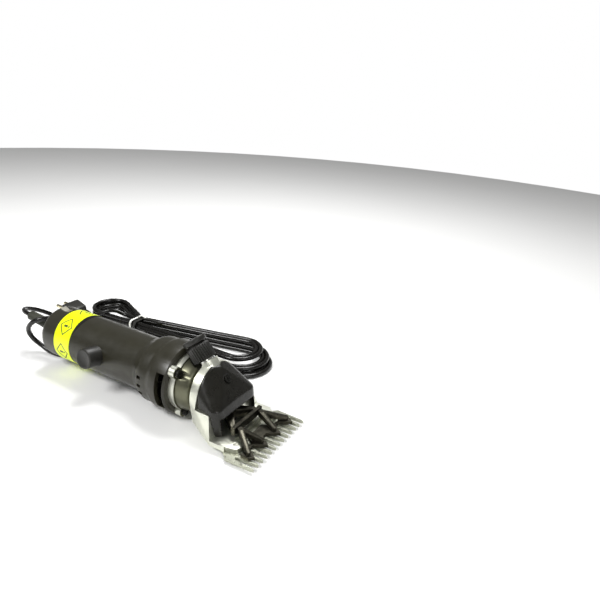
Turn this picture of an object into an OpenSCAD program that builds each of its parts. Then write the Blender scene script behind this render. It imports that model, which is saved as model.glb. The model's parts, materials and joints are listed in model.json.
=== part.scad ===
// Mains-powered sheep shears: barrel motor, offset gearbox, tensioned fork, cutter and comb.
// +X points from the tail to the comb, +Z is up and z = 0 is the surface that it rests on.

/* [Overall] */
// Length from the collar seam back to the tail
rear_len = 138; // [125:1:170]
// Length from the collar seam forward to the comb tips
front_len = 114.5; // [114:0.5:140]
// Height of the motor axis above the resting surface
axis_z = 31; // [31:0.5:38]

/* [Barrel] */
// Radius of the grip
grip_r = 24; // [22.5:0.5:29]
// Wall of the plastic shells
shell_wall = 2.5; // [1.8:0.1:3]
// Distance from the collar seam back to the rear cover seam
cover_seam = 84; // [82:1:88]
// Height of the side seam of the belly tongue below the axis
belly_drop = 8.2; // [6:0.2:12]
// Distance from the collar seam back to the end of the belly tongue
belly_end = 14; // [13:0.5:22]
// Radius of the tail corner
tail_round = 7; // [4:0.5:9]
// Number of vent slots on each side
vent_count = 5; // [3:1:6]
// Angle between vent slots
vent_step = 15; // [11:1:16]

/* [Collar] */
// Length of the collar around the fan
collar_len = 22; // [21:0.5:26]
// Radius of the collar at its seam
collar_seam_r = 29.4; // [28:0.1:32]
// Radius of the collar at its front
collar_r = 31; // [30:0.5:35]
// Width of the side window along the barrel
window_len = 10; // [6:0.5:13]

/* [Gearbox] */
// Radius of the gearbox flange between its lobes
flange_r = 25.5; // [25:0.5:28]
// Radius of the screw circle
lobe_ring_r = 26; // [25:0.5:28]
// Radius of each screw lobe
lobe_r = 5; // [4:0.25:6]
// Length of the gearbox dome
dome_len = 12; // [11:0.5:15]
// Radius of the gearbox nose
nose_r = 19.9; // [19.5:0.1:21]
// Tooth module of the gear pair
gear_module = 0.6; // [0.5:0.05:0.6]
// Pinion teeth
pinion_teeth = 8; // [8:1:9]
// Drive gear teeth
drive_teeth = 31; // [24:1:31]
// Width of the drive gear
gear_width = 6; // [4:0.5:6.5]

/* [Motor] */
// Length of the lamination stacks
stack_len = 34; // [24:1:36]
// Radius of the rotor stack
rotor_r = 14; // [11:0.5:15]
// Air gap between rotor and stator
air_gap = 0.6; // [0.4:0.1:1]
// Radius of the commutator
commutator_r = 9; // [7:0.5:10]
// Distance from the collar seam back to the brush axis
brush_back = 63; // [60:0.5:64]
// Turn of the brush axis around the barrel, in degrees
brush_tilt = 11; // [0:1:15]
// Radius of a brush cap
brush_cap_r = 9; // [7.5:0.5:10]
// How far a brush cap stands out of the grip
brush_cap_out = 13; // [8:0.5:14]
// Radius of the fan
fan_r = 24.5; // [18:0.5:26]
// Number of fan blades
fan_blades = 9; // [7:1:12]

/* [Head] */
// Outer radius of the head band
band_r = 25; // [24:0.5:28]
// Distance from the collar seam to the fork pivot
pivot_x = 66; // [65:0.5:68]
// Swing of the fork to each side, in degrees
fork_swing = 8; // [4:0.5:8]
// Half width of the comb bed
bed_half = 33; // [31:0.5:35]
// Thickness of the comb bed
bed_thick = 4; // [3:0.25:5]
// Half width of the head cover
cover_half = 27; // [25.5:0.5:29]
// Wall of the head cover
cover_wall = 2.2; // [1.6:0.1:2.6]
// Lean of the tension screw back from upright, in degrees
tension_lean = 40; // [38:0.5:40.5]
// Radius of the tension knob
knob_r = 10; // [8:0.5:10.5]
// Length of the tension knob
knob_len = 20; // [16:0.5:24]

/* [Comb and cutter] */
// Height of the comb's lower face
comb_lift = 1.8; // [1.8:0.1:4]
// Thickness of the comb
comb_thick = 2.4; // [2:0.1:3]
// Number of comb teeth
comb_teeth = 13; // [9:2:17]
// Distance between the outer tooth tips
comb_span = 74; // [70:0.5:76]
// Length of the gaps between comb teeth
gap_len = 19; // [16:0.5:21]
// Length of the comb body behind the gaps
comb_body = 26; // [22:0.5:27]
// Thickness of the cutter
cutter_thick = 2.6; // [2:0.1:3.5]
// Pitch of the cutter teeth
cutter_pitch = 18.6; // [17:0.1:19]
// Distance from the comb tips back to the cutter tips
tip_lead = 5.5; // [5:0.5:10]

/* [Cord] */
// Diameter of the cord
cord_d = 4.6; // [4.2:0.1:5]
// Length of the strain relief
relief_len = 44; // [30:1:55]
// Height of the folded cord
hank_h = 14.5; // [14:0.5:16]

/* [Hidden] */
$fn = 72;
slip = 0.05;            // radial gap of a running fit
seat = 0.1;             // gap of a part that is pushed into its seat
apart = 0.3;            // gap between neighbours that don't touch
seam_x = (rear_len - front_len) / 2;
shell_in = grip_r - shell_wall;

// Stations along the barrel, measured from the collar seam
plate_x0 = collar_len;
plate_x1 = plate_x0 + 2;
flange_x1 = plate_x1 + 4;
nose_x0 = flange_x1 + dome_len;
band_x0 = nose_x0 + 4;
band_x1 = band_x0 + 7;
nose_x1 = band_x0 + 2.5;
screw_angles = [40, 140, -60, -120];
screw_r = 1.6;
head_r = 3.4;

// Gear train
gear_drop = gear_module * (pinion_teeth + drive_teeth) / 2;
drive_r = gear_module * (drive_teeth / 2 + 0.85);
crank_z = -gear_drop;
small_bearing_r = 6.5;
small_bearing_w = 4;
crank_shaft_r = 2.5;
boss_x1 = plate_x1 + 4;
rear_seat_x = boss_x1 - small_bearing_w;
front_seat_x = nose_x0 - 3;
gear_x0 = boss_x1 + 1;
case_x1 = nose_x0 - 4;
crank_disc_x = front_seat_x + small_bearing_w + 1.5;
crank_disc_w = 2.5;
crank_disc_r = 5.2;
roller_x0 = crank_disc_x + crank_disc_w + 0.5;
roller_len = 7;
roller_r = 3.2;
crank_pin_r = 2;
fork_arm = pivot_x - roller_x0 - roller_len / 2;
crank_throw = fork_arm * sin(fork_swing);
slot_half = roller_r + 2 * crank_throw + apart;

// Motor
shaft_r = 3.5;
shaft_nose_r = 2.3;
motor_bearing_r = 9.5;
motor_bearing_w = 6;
front_bearing_x = plate_x0 - 8;
rear_bearing_x = -cover_seam + 3;
stack_x1 = -14;
stack_x0 = stack_x1 - stack_len;
coil_len = 5;
commutator_len = 14;
brush_half = 3;
brush_len = 9;
holder_r = 6;
vent_back = 7;
vent_len = 4.4;
vent_wide = 2.8;
fan_x0 = 1;
fan_len = 11;

// Head, heights measured from the motor axis
comb_top = comb_lift + comb_thick - axis_z;
bed_top = comb_top + bed_thick;
bed_x1 = front_len - 30.5;
lobe_x = front_len - 25;
lobe_y = 25;
lug_r = 4.6;
lug_drop = 0.5;             // the lug lies this far below the bed, clear of the feet
comb_screw_r = 2;
screw_head_r = 4.2;
screw_head_h = 1.2;
screw_sink = 0.2;           // the heads lie this deep in the comb's lower face
jaw_half = 21.5;
jaw_drop = 22;
casting_wall = 3;
skirt_x1 = pivot_x + 13;
lip_z = -5;
lip_x1 = pivot_x - 1;
hub_r = 5;
hub_top = -6.5;
hub_h = 8.5;
post_r = 3;
cup_wall = 3.6;
prong_w = 3.6;
prong_h = 6.4;
arm_z = -20;
arm_h = 5;
bar_x = front_len - 34.5;
bar_half = 18;
clip_thick = 1.2;
bar_w = 4;
foot_y = 14.7;
foot_x = bar_x + bar_w + 2.4;
foot_r = 2.4;
pin_x = front_len - 11.5;
cutter_z = comb_top + slip;
cutter_top = cutter_z + cutter_thick;
cutter_tip_x = front_len - tip_lead;
cutter_root_x = cutter_tip_x - 9.5;
cutter_back_x = cutter_root_x - 1.5;
cutter_rear_x = front_len - 24.5;
comb_root_x = front_len - gap_len;
comb_rear_x = comb_root_x - comb_body;
comb_half = comb_span / 2 + 1.4;
comb_pitch = comb_span / (comb_teeth - 1);
opening_half = 22.5;
opening_top = -8.5;
skirt_ends = cover_half - 6.5;

// Tension screw, measured up its own axis from the centre of the pin's ball
pin_tip_r = 2.4;
pin_neck_r = 1.5;
pin_r = 3;
boss_h0 = 22;
boss_h1 = 38.5;
boss_r = 9.6;
boss_bore_r = 6;
knob_h0 = boss_h1 + 1.5;
cap_h = 4.6;
cover_screw_h = 18;
cover_screw_r = 1.6;
cover_lug_r = 4.5;
cover_seat = 7.4;
head_seat = 9;
sleeve_r = boss_bore_r - slip;

// Tail
tail_x = -rear_len;
label_x0 = tail_x + 21;
label_x1 = label_x0 + 20;
label_thick = 0.25;
switch_x = tail_x + 12.5;
switch_len = 15;
switch_wide = 9;
relief_r0 = 5.6;
relief_r1 = 4.6;
relief_z = -2;
relief_rise = 6;
clamp_x = tail_x + 12;
clamp_len = 6;
tail_screw_y = 15;
tail_screw_z = -7;
tail_screw_r = 1.6;

// Cord route points, from the strain relief to the hank and from the hank to the plug
tail_route = [[-169, 0, 33.4], [-179, 0.5, 34], [-188, 5, 33], [-193, 13, 30], [-194, 23, 25],
    [-190, 33, 18.5], [-182, 40, 12], [-171, 43, 6.5], [-158, 44, 3.2], [-145, 43, 2.6],
    [-132, 40, 2.5], [-121, 34, 2.5], [-113, 25, 2.5], [-111, 14, 2.5], [-117, 4, 2.5],
    [-128, -2, 2.5], [-141, -3.5, 2.8], [-152, -4.5, 6.5], [-160.5, -7.5, 13.5], [-161.5, -10.5, 22.5],
    [-156, -12, 31], [-148, -10, 37.5], [-140.5, -3, 39.3], [-136.5, 7, 36.5], [-135, 18, 31],
    [-134, 29, 24.5], [-131, 40, 18.5], [-125, 50, 13], [-116, 59, 8], [-105, 66.5, 4],
    [-94, 71.5, 2.6], [-80, 74, 2.4]];
end_route = [[-134, 88, 13], [-142, 83.5, 16.6], [-149, 78, 16.8], [-156, 73, 12.8], [-163, 70.4, 9.8],
    [-171, 70, 9.2]];
hank_rear = [-163, 96];
hank_neck = [-112, 86];
hank_front = [24, 92];
hank_rear_r = 21.3;
hank_neck_r = 9.6;
hank_front_r = 31;
plug_at = [-171, 70, 9.2];
plug_turn = 180;

// A rod along the barrel between two stations, offset from the motor axis
module rod(x0, x1, r, y = 0, z = 0) {
    translate([seam_x + x0, y, axis_z + z]) rotate([0, 90, 0]) cylinder(r = r, h = x1 - x0);
}

// A turned shell whose outline is a list of [station, radius]
module turned(outline) {
    translate([seam_x, 0, axis_z]) rotate([0, 90, 0]) rotate_extrude()
        polygon([for (p = outline) [p[1], p[0]]]);
}

// Moves children to a station, with the motor axis as zero height
module station(x, y = 0, z = 0) {
    translate([seam_x + x, y, axis_z + z]) children();
}

// A block between two corners, measured from the seam and the motor axis
module block(low, high) {
    station(low[0], low[1], low[2]) cube(high - low);
}

// A ball bearing: two races and a shielded middle in one turned ring
module bearing(x, r_bore, r_out, width, z = 0) {
    color("silver") difference() {
        rod(x, x + width, r_out, 0, z);
        rod(x - 1, x + width + 1, r_bore, 0, z);
        difference() {
            rod(x - 1, x + 0.6, r_out - 1.5, 0, z);
            rod(x - 2, x + 1, r_bore + 1.5, 0, z);
        }
    }
}

// Quarter ellipse from [x0, r0] to [x1, r1], flat at its start
function ease_arc(x0, r0, x1, r1) =
    [for (a = [0:15:90]) [x0 + (x1 - x0) * sin(a), r1 + (r0 - r1) * cos(a)]];

// A cord swept along a route: smooth curve through the points, with one ring every few millimetres
function spline(p, i, t) = let (
    n = len(p) - 1,
    a = p[max(i - 1, 0)], b = p[i], c = p[i + 1], d = p[min(i + 2, n)])
    0.5 * (2 * b + (c - a) * t + (2 * a - 5 * b + 4 * c - d) * t * t
        + (3 * b - a - 3 * c + d) * t * t * t);
function unit(v) = v / norm(v);
function path_of(p, steps) = concat(
    [for (i = [0:len(p) - 2], k = [0:steps - 1]) spline(p, i, k / steps)], [p[len(p) - 1]]);
function heading(q, i) = unit(q[min(i + 1, len(q) - 1)] - q[max(i - 1, 0)]);
module swept_cord(route, d, steps, sides) {
    q = path_of(route, steps);
    n = len(q);
    rings = [for (i = [0:n - 1]) let (h = heading(q, i), s = unit(cross([0, 0, 1], h)), u = cross(h, s))
        for (k = [0:sides - 1]) q[i] + d / 2 * (cos(360 * k / sides) * s + sin(360 * k / sides) * u)];
    faces = concat([[for (k = [0:sides - 1]) k]],
        [for (i = [0:n - 2], k = [0:sides - 1]) let (m = (k + 1) % sides)
            [i * sides + k, (i + 1) * sides + k, (i + 1) * sides + m, i * sides + m]],
        [[for (k = [sides - 1:-1:0]) (n - 1) * sides + k]]);
    polyhedron(points = rings, faces = faces, convexity = 10);
}

// Moves children to a brush axis, pointing out of the barrel
module on_brush(s) {
    station(-brush_back) rotate([-s * 90 - brush_tilt, 0, 0]) children();
}

module brush_holes() {
    for (s = [-1, 1]) on_brush(s) cylinder(r = holder_r + seat, h = 40);
}

module rear_cover() color("#201f1c") {
    union() {
        difference() {
            turned(concat([[tail_x, 0]],
                [for (a = [90:-15:0]) [tail_x + tail_round * (1 - sin(a)), grip_r - tail_round * (1 - cos(a))]],
                [[-cover_seam, grip_r], [-cover_seam, shell_in]],
                [for (a = [0:15:90]) [tail_x + shell_wall + tail_round * (1 - sin(a)),
                    shell_in - tail_round * (1 - cos(a))]],
                [[tail_x + shell_wall, 0]]));
            rod(tail_x - 1, tail_x + 8, relief_r0 + seat, 0, relief_z);
            block([switch_x - switch_len / 2 - seat, -switch_wide / 2 - seat, 10],
                [switch_x + switch_len / 2 + seat, switch_wide / 2 + seat, 40]);
            for (s = [-1, 1]) {
                rod(tail_x - 1, tail_x + 8, tail_screw_r + seat, s * tail_screw_y, tail_screw_z);
                rod(tail_x - 1, tail_x + 1.5, 3, s * tail_screw_y, tail_screw_z);
            }
        }
        intersection() {
            difference() {
                rod(-cover_seam - 3, -belly_end, grip_r);
                rod(-cover_seam - 4, 0, shell_in);
                brush_holes();
            }
            block([-cover_seam - 4, -40, -40], [0, 40, -belly_drop]);
        }
    }
}

module motor_housing() color("#2b2a24") difference() {
    turned(concat([[-cover_seam, grip_r], [-20, grip_r]],
        [for (a = [15:15:90]) [-20 + 14 * a / 90, grip_r + (collar_seam_r - grip_r) * (1 - cos(a * 2)) / 2]],
        [[0, collar_seam_r], [0, collar_seam_r - shell_wall]],
        [for (a = [90:-15:15]) [-20 + 14 * a / 90,
            shell_in + (collar_seam_r - grip_r) * (1 - cos(a * 2)) / 2]],
        [[-20, shell_in], [-cover_seam, shell_in]]));
    block([-cover_seam - 1, -40, -40], [-belly_end, 40, -belly_drop]);
    brush_holes();
    for (s = [-1, 1], i = [0:vent_count - 1]) station(-vent_back) rotate([s * (-10 + i * vent_step), 0, 0])
        translate([-vent_len / 2, s > 0 ? -40 : 15, -vent_wide / 2]) cube([vent_len, 25, vent_wide]);
}

module collar() color("#24231f") difference() {
    turned([[0, collar_seam_r], [1, collar_seam_r], [6, collar_r], [collar_len - 1.5, collar_r],
        [collar_len, collar_r - 1.5], [collar_len, 20], [collar_len - 3, 20], [collar_len - 3, 27], [3, 27],
        [0, collar_seam_r - shell_wall]]);
    for (s = [-1, 1]) block([collar_len - window_len, s > 0 ? 18.5 : -40, -16],
        [collar_len - 2, s > 0 ? 40 : -18.5, 15.5]);
    for (a = screw_angles) rod(collar_len - 4, collar_len + 1, screw_r,
        -lobe_ring_r * cos(a), lobe_ring_r * sin(a));
}

// Outline shared by the bearing plate and the gearbox flange
module lobed_disc(x0, x1) {
    rod(x0, x1, flange_r);
    for (a = screw_angles) rod(x0, x1, lobe_r, -lobe_ring_r * cos(a), lobe_ring_r * sin(a));
}

module gear_plate() color("#b9bab4") difference() {
    union() {
        lobed_disc(plate_x0, plate_x1);
        rod(front_bearing_x - 1, plate_x0 + 1, motor_bearing_r + 2.5);
        rod(plate_x0, boss_x1, small_bearing_r + 1.7, 0, crank_z);
    }
    rod(front_bearing_x - 2, front_bearing_x + motor_bearing_w, motor_bearing_r);
    rod(0, boss_x1 + 1, shaft_nose_r + 0.7);
    rod(0, front_bearing_x + motor_bearing_w + 1, shaft_r + 0.7);
    rod(rear_seat_x, boss_x1 + 1, small_bearing_r, 0, crank_z);
    for (a = screw_angles) rod(plate_x0 - 1, plate_x1 + 1, screw_r + seat,
        -lobe_ring_r * cos(a), lobe_ring_r * sin(a));
}

module gearbox() color("#c3c4bd") difference() {
    union() {
        lobed_disc(plate_x1, flange_x1);
        turned(concat([[plate_x1, 0], [plate_x1, flange_r - 1]],
            ease_arc(flange_x1 + 1, flange_r - 1, nose_x0, nose_r),
            [[nose_x1, nose_r], [nose_x1, 0]]));
    }
    rod(plate_x1 - 1, case_x1, drive_r + 0.6, 0, crank_z);
    rod(plate_x1 - 1, case_x1, 6);
    rod(front_seat_x - 3, front_seat_x + small_bearing_w, small_bearing_r, 0, crank_z);
    rod(front_seat_x, nose_x1 + 1, crank_shaft_r + 1.2, 0, crank_z);
    rod(front_seat_x + small_bearing_w + 1, nose_x1 + 1, nose_r - 1.9);
    on_tension(boss_h0 - 6) cylinder(r = boss_r + seat, h = 60);
    on_tension(boss_h1 + seat) cylinder(r = knob_r + 0.8, h = 40);
    for (a = screw_angles) {
        rod(plate_x1 - 1, flange_x1 + 1, screw_r + seat, -lobe_ring_r * cos(a), lobe_ring_r * sin(a));
        rod(flange_x1, nose_x1, head_r + 0.5, -lobe_ring_r * cos(a), lobe_ring_r * sin(a));
    }
}

module flange_screws() color("#15140f") for (a = screw_angles) difference() {
    union() {
        rod(collar_len - 2.5, flange_x1 + 1, screw_r, -lobe_ring_r * cos(a), lobe_ring_r * sin(a));
        rod(flange_x1, flange_x1 + 2.4, head_r, -lobe_ring_r * cos(a), lobe_ring_r * sin(a));
    }
    station(flange_x1 + 1.2, -lobe_ring_r * cos(a), lobe_ring_r * sin(a)) {
        translate([0, -2, -0.35]) cube([3, 4, 0.7]);
        translate([0, -0.35, -2]) cube([3, 0.7, 4]);
    }
}

// Moves children onto the tension screw's axis, measured up from the centre of the pin's ball
module on_tension(h = 0) {
    station(pivot_x, 0, hub_top) rotate([0, -tension_lean, 0]) translate([0, 0, h]) children();
}

// Moves children onto the cover screw's axis, measured out from the tension screw's axis
module on_cover_screw(out = 0) {
    on_tension(cover_screw_h) rotate([0, 90, 0]) translate([0, 0, out]) children();
}

// Side profile of the space that the head cover fills
module cover_zone(gap) {
    translate([seam_x, 60, axis_z]) rotate([90, 0, 0]) linear_extrude(120)
        polygon([[band_x1 + gap, 60], [band_x1 + gap, lip_z + gap], [lip_x1 + gap, lip_z + gap],
            [lip_x1 + 5 + gap, bed_top + gap], [skirt_x1 + 20, bed_top + gap], [skirt_x1 + 20, 60]]);
}

module casting_body() {
    hull() {
        rod(band_x0, band_x1, band_r);
        block([band_x0, -jaw_half, -jaw_drop], [band_x0 + 5, jaw_half, -8]);
        block([bed_x1 - 14, -bed_half, comb_top], [bed_x1, bed_half, bed_top]);
    }
}

module head_casting() color("#c9cac2") difference() {
    union() {
        difference() {
            casting_body();
            cover_zone(0);
        }
        on_tension(boss_h0) cylinder(r = boss_r, h = boss_h1 - boss_h0);
        on_cover_screw(4) cylinder(r = cover_lug_r, h = cover_seat - 4);
        for (s = [-1, 1]) hull() {
            station(lobe_x, s * lobe_y, comb_top) cylinder(r = lug_r, h = bed_thick - lug_drop, $fn = 32);
            station(bed_x1 - 3, s * (lobe_y + 1), comb_top) cylinder(r = lug_r + 1.5, h = bed_thick, $fn = 32);
        }
    }
    hull() {
        rod(nose_x1, band_x1, band_r - 5);
        block([bed_x1 - 10, -opening_half, comb_top + casting_wall],
            [bed_x1 + 12, opening_half, bed_top + 5]);
    }
    rod(band_x0 - 1, nose_x1, nose_r);
    rod(band_x0 - 30, band_x0, band_r + 6);
    on_tension(0) cylinder(r = boss_bore_r, h = boss_h1 + 1);
    on_tension(boss_h1) cylinder(r = boss_r + 1, h = 10);
    on_cover_screw(0) cylinder(r = cover_screw_r, h = 20);
    station(pivot_x, 0, comb_top - 1) cylinder(r = post_r, h = 20);
    station(pivot_x, 0, comb_top + casting_wall) cylinder(r = post_r + 2, h = 12);
    for (s = [-1, 1]) station(lobe_x, s * lobe_y, comb_top - 1) cylinder(r = comb_screw_r, h = 20);
}

module cover_shape(in) {
    hull() {
        rod(band_x1 - (in > 0 ? 3 : 0), band_x1 + 1 , band_r - 0.3 - in);
        station(band_x1 + 3, 0, 19.5) sphere(r = 4.2 - in, $fn = 32);
        station(pivot_x - 4, 0, -2) cylinder(r = 10 - in, h = 2 - in / 2, $fn = 32);
        for (s = [-1, 1]) {
            station(pivot_x, s * skirt_ends, bed_top - in) cylinder(r = 6.5 - in, h = 21.5, $fn = 32);
            station(pivot_x - 1, s * (skirt_ends - 6), bed_top - in) cylinder(r = 13 - in, h = 1, $fn = 32);
        }
    }
}

module head_cover() color("#191915") difference() {
    union() {
        difference() {
            intersection() {
                cover_shape(0);
                cover_zone(0);
            }
            cover_shape(cover_wall);
        }
        intersection() {
            on_cover_screw(cover_seat) cylinder(r = cover_lug_r + 0.8, h = 12);
            cover_shape(0);
        }
    }
    block([pivot_x, -opening_half, bed_top - 1], [skirt_x1 + 4, opening_half, opening_top]);
    on_tension(boss_h0 - 1) cylinder(r = boss_r + apart, h = boss_h1);
    on_cover_screw(0) cylinder(r = cover_screw_r + seat, h = 30);
    on_cover_screw(head_seat) cylinder(r = 3.6, h = 30);
    on_cover_screw(0) cylinder(r = cover_lug_r + apart, h = cover_seat);
}

module cover_screw() color("#15140f") on_cover_screw() difference() {
    union() {
        translate([0, 0, 4.2]) cylinder(r = cover_screw_r, h = head_seat - 4.2);
        translate([0, 0, head_seat]) cylinder(r = 3, h = 2);
    }
    translate([-2, -0.35, head_seat + 1]) cube([4, 0.7, 3]);
    translate([-0.35, -2, head_seat + 1]) cube([0.7, 4, 3]);
}

module tension_pin() color("#8d8f8b") on_tension() union() {
    sphere(r = pin_tip_r);
    cylinder(r = pin_neck_r, h = 8);
    translate([0, 0, 7]) cylinder(r = pin_r, h = boss_h0 - 6);
    translate([0, 0, boss_h0]) cylinder(r = sleeve_r, h = knob_h0 + 6 - boss_h0);
}

module tension_knob() color("#1d1c18") on_tension(knob_h0) difference() {
    union() {
        cylinder(r1 = knob_r - 0.6, r2 = knob_r - 1.2, h = knob_len - cap_h - 1.4);
        translate([0, 0, knob_len - cap_h - 1.4]) cylinder(r = knob_r - 2.2, h = 1.4);
        translate([0, 0, knob_len - cap_h]) cylinder(r1 = knob_r - 1, r2 = knob_r, h = 1);
        translate([0, 0, knob_len - cap_h + 1]) cylinder(r = knob_r, h = cap_h - 1);
        for (i = [0:23]) rotate([0, 0, i * 15])
            translate([knob_r - 1.9, -0.5, 1]) cube([1.4, 1, knob_len - cap_h - 3]);
    }
    translate([0, 0, -1]) cylinder(r = sleeve_r + slip, h = 8);
}

module fork() color("#34332c") difference() {
    union() {
        station(pivot_x, 0, hub_top - hub_h) cylinder(r = hub_r, h = hub_h);
        for (s = [-1, 1]) {
            hull() {
                station(pivot_x, s * 2, arm_z) cylinder(r = hub_r - 1, h = hub_h - 1, $fn = 32);
                station(bar_x - 1.4, s * foot_y, arm_z) cylinder(r = 2, h = arm_h, $fn = 32);
            }
            block([roller_x0 + 2, s > 0 ? slot_half : -slot_half - prong_w, crank_z - prong_h / 2],
                [pivot_x - hub_r + 1, s > 0 ? slot_half + prong_w : -slot_half, crank_z + prong_h / 2]);
        }
        block([pivot_x - hub_r - 3, -slot_half - prong_w, crank_z - prong_h / 2],
            [pivot_x - hub_r + 2, slot_half + prong_w, crank_z + prong_h / 2]);
        block([bar_x, -bar_half, arm_z], [bar_x + bar_w, bar_half, arm_z + arm_h]);
    }
    station(pivot_x, 0, hub_top - hub_h - 5) cylinder(r = post_r + slip, h = hub_h + 5 - cup_wall);
    on_tension() sphere(r = pin_tip_r + slip);
    on_tension() cylinder(r = pin_tip_r + slip, h = hub_h);
}

module fulcrum_post() color("#9a9b96") union() {
    station(pivot_x, 0, comb_top + 0.4) cylinder(r = post_r, h = hub_top - cup_wall - slip - comb_top - 0.4);
    station(pivot_x, 0, comb_top + casting_wall) cylinder(r = post_r + 2, h = 2);
}

module foot(s) color("#2c2b25") union() {
    for (y = [1.5, 0.5] * cutter_pitch) {
        hull() {
            station(foot_x, s * foot_y, arm_z) cylinder(r = foot_r, h = arm_h, $fn = 32);
            station(pin_x, s * y, cutter_top) cylinder(r = 1.7, h = 3, $fn = 32);
        }
        station(pin_x, s * y, cutter_top - 1.6) cylinder(r = 1.1, h = 2);
    }
}

module foot_left() foot(1);
module foot_right() foot(-1);

module foot_clip() color("#3c3b34") union() {
    block([bar_x + 0.7, -bar_half - seat - clip_thick, arm_z + arm_h + seat],
        [bar_x + bar_w, bar_half + seat + clip_thick, arm_z + arm_h + seat + clip_thick]);
    for (s = [-1, 1]) block([bar_x + 0.7, s > 0 ? bar_half + seat : -bar_half - seat - clip_thick, arm_z - 1],
        [bar_x + bar_w, s > 0 ? bar_half + seat + clip_thick : -bar_half - seat, arm_z + arm_h + 1]);
}

module cutter() color("#3a392f") difference() {
    station(0, 0, cutter_z) linear_extrude(cutter_thick) union() {
        for (i = [-1.5:1:1.5]) polygon([
            [cutter_back_x, i * cutter_pitch - 8], [cutter_root_x, i * cutter_pitch - 7.4],
            [cutter_tip_x - 2, i * cutter_pitch - 1.5], [cutter_tip_x, i * cutter_pitch],
            [cutter_tip_x - 2, i * cutter_pitch + 1.5], [cutter_root_x, i * cutter_pitch + 7.4],
            [cutter_back_x, i * cutter_pitch + 8]]);
        polygon([[cutter_rear_x, -9], [cutter_rear_x + 6, -13], [cutter_back_x, -16],
            [cutter_back_x, -1.5 * cutter_pitch - 2], [cutter_root_x, -1.5 * cutter_pitch - 2],
            [cutter_root_x, 1.5 * cutter_pitch + 2], [cutter_back_x, 1.5 * cutter_pitch + 2],
            [cutter_back_x, 16], [cutter_rear_x + 6, 13], [cutter_rear_x, 9]]);
    }
    for (i = [-1.5:1:1.5]) station(pin_x, i * cutter_pitch, cutter_top - 1.8) cylinder(r = 1.1, h = 4);
    for (s = [-1, 1]) block([cutter_tip_x - 12, s > 0 ? 1.5 * cutter_pitch + 3 : -60, cutter_z - 1],
        [front_len, s > 0 ? 60 : -1.5 * cutter_pitch - 3, cutter_z + 9]);
}

module comb() color("#d3d4cd") difference() {
    station(0, 0, comb_top - comb_thick) linear_extrude(comb_thick) union() {
        polygon([[comb_rear_x, -bed_half + 6], [comb_rear_x + 14, -bed_half], [comb_root_x - 7, -comb_half],
            [comb_root_x, -comb_half], [comb_root_x, comb_half], [comb_root_x - 7, comb_half],
            [comb_rear_x + 14, bed_half], [comb_rear_x, bed_half - 6]]);
        for (i = [0:comb_teeth - 1]) let (y = (i - (comb_teeth - 1) / 2) * comb_pitch,
            lo = i == 0 ? comb_half - comb_span / 2 : 1.8,
            hi = i == comb_teeth - 1 ? comb_half - comb_span / 2 : 1.8)
            polygon([[comb_root_x - 1, y - lo], [front_len - 2, y - 0.9], [front_len, y],
                [front_len - 2, y + 0.9], [comb_root_x - 1, y + hi]]);
    }
    for (s = [-1, 1]) {
        block([comb_rear_x - 1, s * lobe_y - 2.5, comb_top - 9], [lobe_x, s * lobe_y + 2.5, comb_top + 1]);
        station(lobe_x, s * lobe_y, comb_top - 9) cylinder(r = 2.5, h = 12);
        station(lobe_x, s * lobe_y, comb_top - comb_thick - 1)
            cylinder(r = screw_head_r + apart, h = 1 + screw_sink + screw_head_h);
    }
}

module comb_screws() color("#aeb0a9") for (s = [-1, 1]) station(lobe_x, s * lobe_y, 0) difference() {
    union() {
        translate([0, 0, comb_top - comb_thick + screw_sink]) cylinder(r = screw_head_r, h = screw_head_h);
        translate([0, 0, comb_top - comb_thick + screw_sink + 0.4])
            cylinder(r = comb_screw_r, h = bed_thick + comb_thick - lug_drop - 0.8 - screw_sink);
    }
    translate([-5, -0.5, comb_top - comb_thick - 1]) cube([10, 1, 1 + screw_sink + 0.6]);
}

// Toothed rim with slim straight flanks
module toothed(teeth, width) {
    r = gear_module * teeth / 2;
    linear_extrude(width) union() {
        circle(r = r - 1.1 * gear_module);
        for (i = [0:teeth - 1]) rotate(360 * i / teeth) polygon([
            [r - 1.3 * gear_module, -0.8 * gear_module], [r + 0.85 * gear_module, -0.26 * gear_module],
            [r + 0.85 * gear_module, 0.26 * gear_module], [r - 1.3 * gear_module, 0.8 * gear_module]]);
    }
}

module crankshaft() color("#9c9d98") union() {
    rod(rear_seat_x, crank_disc_x, crank_shaft_r, 0, crank_z);
    rod(crank_disc_x, crank_disc_x + crank_disc_w, crank_disc_r, 0, crank_z);
    rod(crank_disc_x, roller_x0 + roller_len, crank_pin_r, 0, crank_z + crank_throw);
}

module crank_roller() color("#7e7f7a") difference() {
    rod(roller_x0, roller_x0 + roller_len, roller_r, 0, crank_z + crank_throw);
    rod(roller_x0 - 1, roller_x0 + roller_len + 1, crank_pin_r + slip, 0, crank_z + crank_throw);
}

module drive_gear() color("#a8875a") difference() {
    station(gear_x0, 0, crank_z) rotate([0, 90, 0]) rotate(drive_teeth % 2 == 0 ? 180 / drive_teeth : 0)
        toothed(drive_teeth, gear_width);
    rod(gear_x0 - 1, gear_x0 + gear_width + 1, crank_shaft_r, 0, crank_z);
}

module crank_bearing_rear() bearing(rear_seat_x, crank_shaft_r, small_bearing_r, small_bearing_w, crank_z);
module crank_bearing_front() bearing(front_seat_x, crank_shaft_r, small_bearing_r, small_bearing_w, crank_z);

module rotor_shaft() color("#b3b4b0") union() {
    rod(rear_bearing_x - 1, front_bearing_x + motor_bearing_w + 0.5, shaft_r);
    rod(front_bearing_x + motor_bearing_w, gear_x0 + 1, shaft_nose_r - 0.5);
    station(gear_x0 - 0.5, 0, 0) rotate([0, 90, 0]) toothed(pinion_teeth, gear_width + 0.5);
}

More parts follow.
